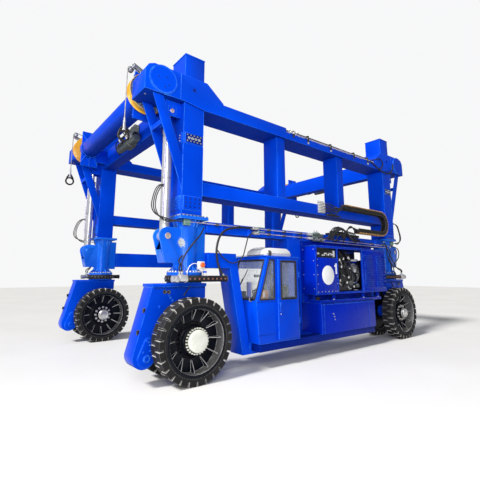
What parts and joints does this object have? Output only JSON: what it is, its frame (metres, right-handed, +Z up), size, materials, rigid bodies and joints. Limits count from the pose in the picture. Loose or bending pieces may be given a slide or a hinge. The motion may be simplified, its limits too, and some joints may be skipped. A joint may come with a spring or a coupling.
{
  "type": "rubber tyred gantry crane",
  "caption": "Blue gantry crane on steered twin wheels, with a lifting upper frame on its columns, rope drums at both ends, an operator cab and a power pack.",
  "frame": {"origin": "On the ground under the middle of the crane, half way between the wheels both ways.", "axes": "+X is the travel direction with the wheels straight, away from the end that the cab looks to; +Y is from the cab side to the far side; +Z is up."},
  "size_m": [8.9404, 5.72, 5.73],
  "materials": {
    "blue_paint": "glossy cobalt blue paint",
    "dark_blue_paint": "shaded dark blue paint",
    "mast_paint": "thin greased blue paint",
    "barrel_silver": "silver paint",
    "ram_chrome": "polished",
    "black_casting": "black paint on cast iron",
    "motor_silver": "raw cast",
    "clear_glass": "clear",
    "white_plastic": "glossy white moulding",
    "seat_fabric": "black upholstery",
    "dark_plastic": "textured",
    "engine_iron": "oily dark castings",
    "roller_steel": "turned",
    "drive_grey": "dark grey paint",
    "chain_plastic": "moulded black links",
    "rope_steel": "greased wire rope",
    "socket_steel": "black forged",
    "black_paint": "semi-gloss black paint",
    "tyre_rubber": "dusty tread rubber",
    "yellow_paint": "glossy yellow paint"
  },
  "bodies": {
    "chassis": {"near_posts": "blue_paint", "far_posts": "blue_paint", "inner_masts": "mast_paint", "lift_barrels": "barrel_silver", "slew_drives": "black_casting", "steer_motors": "motor_silver", "near_frame": "blue_paint", "near_rail": "blue_paint", "far_sill": "blue_paint", "cab_shell": "blue_paint", "cab_glass": "clear_glass", "cab_roof_unit": "white_plastic", "operator_seat": "seat_fabric", "cab_console": "dark_plastic", "cab_mirror": "dark_plastic", "pack_housing": "blue_paint", "pack_panel": "blue_paint", "pack_louvres": "blue_paint", "engine": "engine_iron", "pack_feet": "blue_paint", "fuel_tank": "blue_paint", "side_skirt": "dark_blue_paint"},
    "upper_frame": {"columns": "blue_paint", "near_beam": "blue_paint", "far_beam": "blue_paint", "low_beams": "blue_paint", "mid_posts": "blue_paint", "cross_girders": "blue_paint", "head_braces": "blue_paint", "lift_rams": "ram_chrome", "rope_rollers": "roller_steel", "drum_brackets": "blue_paint", "winch_drives": "drive_grey", "energy_chain": "chain_plastic", "hoist_ropes": "rope_steel", "rope_sockets": "socket_steel"},
    "drum_left": {"drum_tube_left": "blue_paint", "reels_left": "yellow_paint"},
    "drum_right": {"drum_tube_right": "blue_paint", "reels_right": "yellow_paint"},
    "door": {"cab_door": "blue_paint", "door_glass": "clear_glass"},
    "steer_near_left": {"fork_near_left": "blue_paint"},
    "wheels_near_left": {"rims_near_left": "black_paint", "tyres_near_left": "tyre_rubber"},
    "steer_near_right": {"fork_near_right": "blue_paint"},
    "wheels_near_right": {"rims_near_right": "black_paint", "tyres_near_right": "tyre_rubber"},
    "steer_far_left": {"fork_far_left": "blue_paint"},
    "wheels_far_left": {"rims_far_left": "black_paint", "tyres_far_left": "tyre_rubber"},
    "steer_far_right": {"fork_far_right": "blue_paint"},
    "wheels_far_right": {"rims_far_right": "black_paint", "tyres_far_right": "tyre_rubber"}
  },
  "joints": [
    {"name": "frame_lift", "type": "slide", "parent": "chassis", "child": "upper_frame", "axis": [0, 0, 1], "range_m": [0, 1.5]},
    {"name": "steer_near_left", "type": "hinge", "parent": "chassis", "child": "steer_near_left", "pos_m": [-3.29, -2.33, 1.6], "axis": [0, 0, 1], "range_deg": [-90, 90]},
    {"name": "roll_near_left", "type": "hinge", "parent": "steer_near_left", "child": "wheels_near_left", "pos_m": [-3.29, -2.33, 0.66984], "axis": [0, 1, 0], "continuous": true},
    {"name": "steer_near_right", "type": "hinge", "parent": "chassis", "child": "steer_near_right", "pos_m": [3.29, -2.33, 1.6], "axis": [0, 0, 1], "range_deg": [-90, 90]},
    {"name": "roll_near_right", "type": "hinge", "parent": "steer_near_right", "child": "wheels_near_right", "pos_m": [3.29, -2.33, 0.66984], "axis": [0, 1, 0], "continuous": true},
    {"name": "steer_far_left", "type": "hinge", "parent": "chassis", "child": "steer_far_left", "pos_m": [-3.29, 2.33, 1.6], "axis": [0, 0, 1], "range_deg": [-90, 90]},
    {"name": "roll_far_left", "type": "hinge", "parent": "steer_far_left", "child": "wheels_far_left", "pos_m": [-3.29, 2.33, 0.66984], "axis": [0, 1, 0], "continuous": true},
    {"name": "steer_far_right", "type": "hinge", "parent": "chassis", "child": "steer_far_right", "pos_m": [3.29, 2.33, 1.6], "axis": [0, 0, 1], "range_deg": [-90, 90]},
    {"name": "roll_far_right", "type": "hinge", "parent": "steer_far_right", "child": "wheels_far_right", "pos_m": [3.29, 2.33, 0.66984], "axis": [0, 1, 0], "continuous": true},
    {"name": "hoist_left", "type": "hinge", "parent": "upper_frame", "child": "drum_left", "pos_m": [-3.96, 0, 5.02], "axis": [0, 1, 0], "continuous": true},
    {"name": "hoist_right", "type": "hinge", "parent": "upper_frame", "child": "drum_right", "pos_m": [3.96, 0, 5.02], "axis": [0, 1, 0], "continuous": true},
    {"name": "door_swing", "type": "hinge", "parent": "chassis", "child": "door", "pos_m": [-0.903, -2.8075, 1.25], "axis": [0, 0, 1], "range_deg": [0, 90]}
  ]
}
